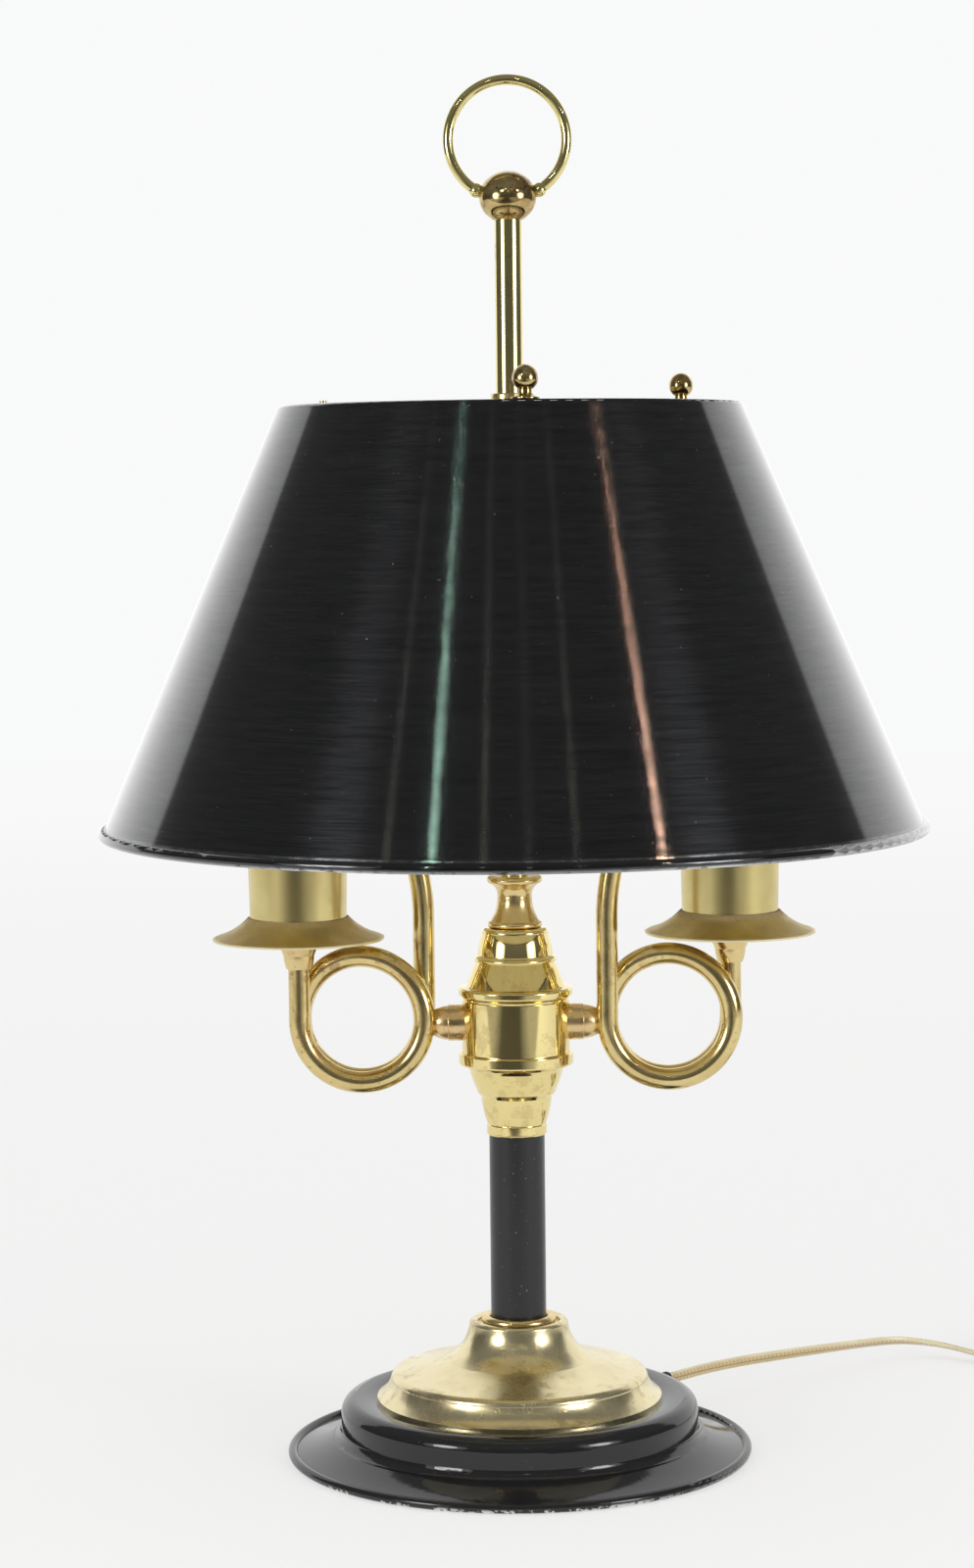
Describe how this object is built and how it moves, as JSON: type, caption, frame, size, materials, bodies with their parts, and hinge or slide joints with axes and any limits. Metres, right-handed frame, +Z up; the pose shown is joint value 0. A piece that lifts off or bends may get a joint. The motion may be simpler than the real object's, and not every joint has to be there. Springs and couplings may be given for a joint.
{
  "type": "bouillotte table lamp",
  "caption": "Brass table lamp with hunting-horn arms, candle cups and a black metal cone shade that slides on a rod with a ring handle.",
  "frame": {"origin": "centre of the base on the table", "axes": "+Z up along the rod, arms along X, the front faces -Y"},
  "size_m": [0.5009, 0.377, 0.5882],
  "materials": {
    "black_lacquer": "gloss black lacquer",
    "black_enamel": "satin black enamel",
    "polished_brass": "polished",
    "satin_brass": "satin",
    "matte_brass": "dull",
    "aged_brass": "aged",
    "contact_brass": "plain",
    "steel": "zinc plated",
    "cast_iron": "as cast",
    "felt": "felt",
    "bakelite": "moulded",
    "bushing_plastic": "moulded",
    "cord": "clear gold insulation",
    "tie": "plain",
    "plug": "moulded"
  },
  "bodies": {
    "lamp": {"arm_body": "polished_brass", "arm_nut_left": "steel", "arm_nut_right": "steel", "arm_stub_left": "aged_brass", "arm_stub_right": "aged_brass", "ball_finial": "polished_brass", "base_cap": "polished_brass", "base_nut": "steel", "base_pan": "black_lacquer", "base_washer": "steel", "base_weight": "cast_iron", "bobeche_left": "matte_brass", "bobeche_right": "matte_brass", "candle_cup_left": "satin_brass", "candle_cup_right": "satin_brass", "centre_contact_left": "contact_brass", "centre_contact_right": "contact_brass", "centre_pipe": "steel", "cord_bushing": "bushing_plastic", "cord_coil": "cord", "cord_run": "cord", "cord_tail": "cord", "cord_tie": "tie", "cup_ferrule_left": "matte_brass", "cup_ferrule_right": "matte_brass", "cup_nipple_left": "steel", "cup_nipple_right": "steel", "cup_nut_left": "steel", "cup_nut_right": "steel", "felt_pad": "felt", "foot_ring": "aged_brass", "horn_left": "aged_brass", "horn_right": "aged_brass", "lower_cup": "polished_brass", "neck_spool": "aged_brass", "plug_blades": "contact_brass", "plug_body": "plug", "ring_handle": "polished_brass", "rod": "polished_brass", "screw_shell_left": "contact_brass", "screw_shell_right": "contact_brass", "socket_cap_left": "satin_brass", "socket_cap_right": "satin_brass", "socket_core_left": "bakelite", "socket_core_right": "bakelite", "socket_shell_left": "satin_brass", "socket_shell_right": "satin_brass", "stem_tube": "black_enamel", "upper_cap": "polished_brass"},
    "clamp": {"slide_collar": "aged_brass"},
    "clamp_screw": {"thumbscrew": "aged_brass"},
    "shade": {"shade": "black_lacquer", "spider": "aged_brass", "shade_nuts": "aged_brass"},
    "knob_left": {"turn_knob_left": "bakelite"},
    "knob_right": {"turn_knob_right": "bakelite"}
  },
  "joints": [
    {"name": "shade_slide", "type": "slide", "parent": "lamp", "child": "clamp", "axis": [0, 0, 1], "range_m": [-0.045, 0.07]},
    {"name": "clamp_screw_turn", "type": "hinge", "parent": "clamp", "child": "clamp_screw", "pos_m": [0, 0, 0.431], "axis": [0, 1, 0], "range_deg": [-360, 360]},
    {"name": "shade_swivel", "type": "hinge", "parent": "clamp", "child": "shade", "pos_m": [0, 0, 0.455], "axis": [0, 0, 1], "continuous": true},
    {"name": "knob_left_turn", "type": "hinge", "parent": "lamp", "child": "knob_left", "pos_m": [-0.0923, -0.00485, 0.27], "axis": [1, 0, 0], "continuous": true},
    {"name": "knob_right_turn", "type": "hinge", "parent": "lamp", "child": "knob_right", "pos_m": [0.0923, 0.00485, 0.27], "axis": [1, 0, 0], "continuous": true}
  ]
}
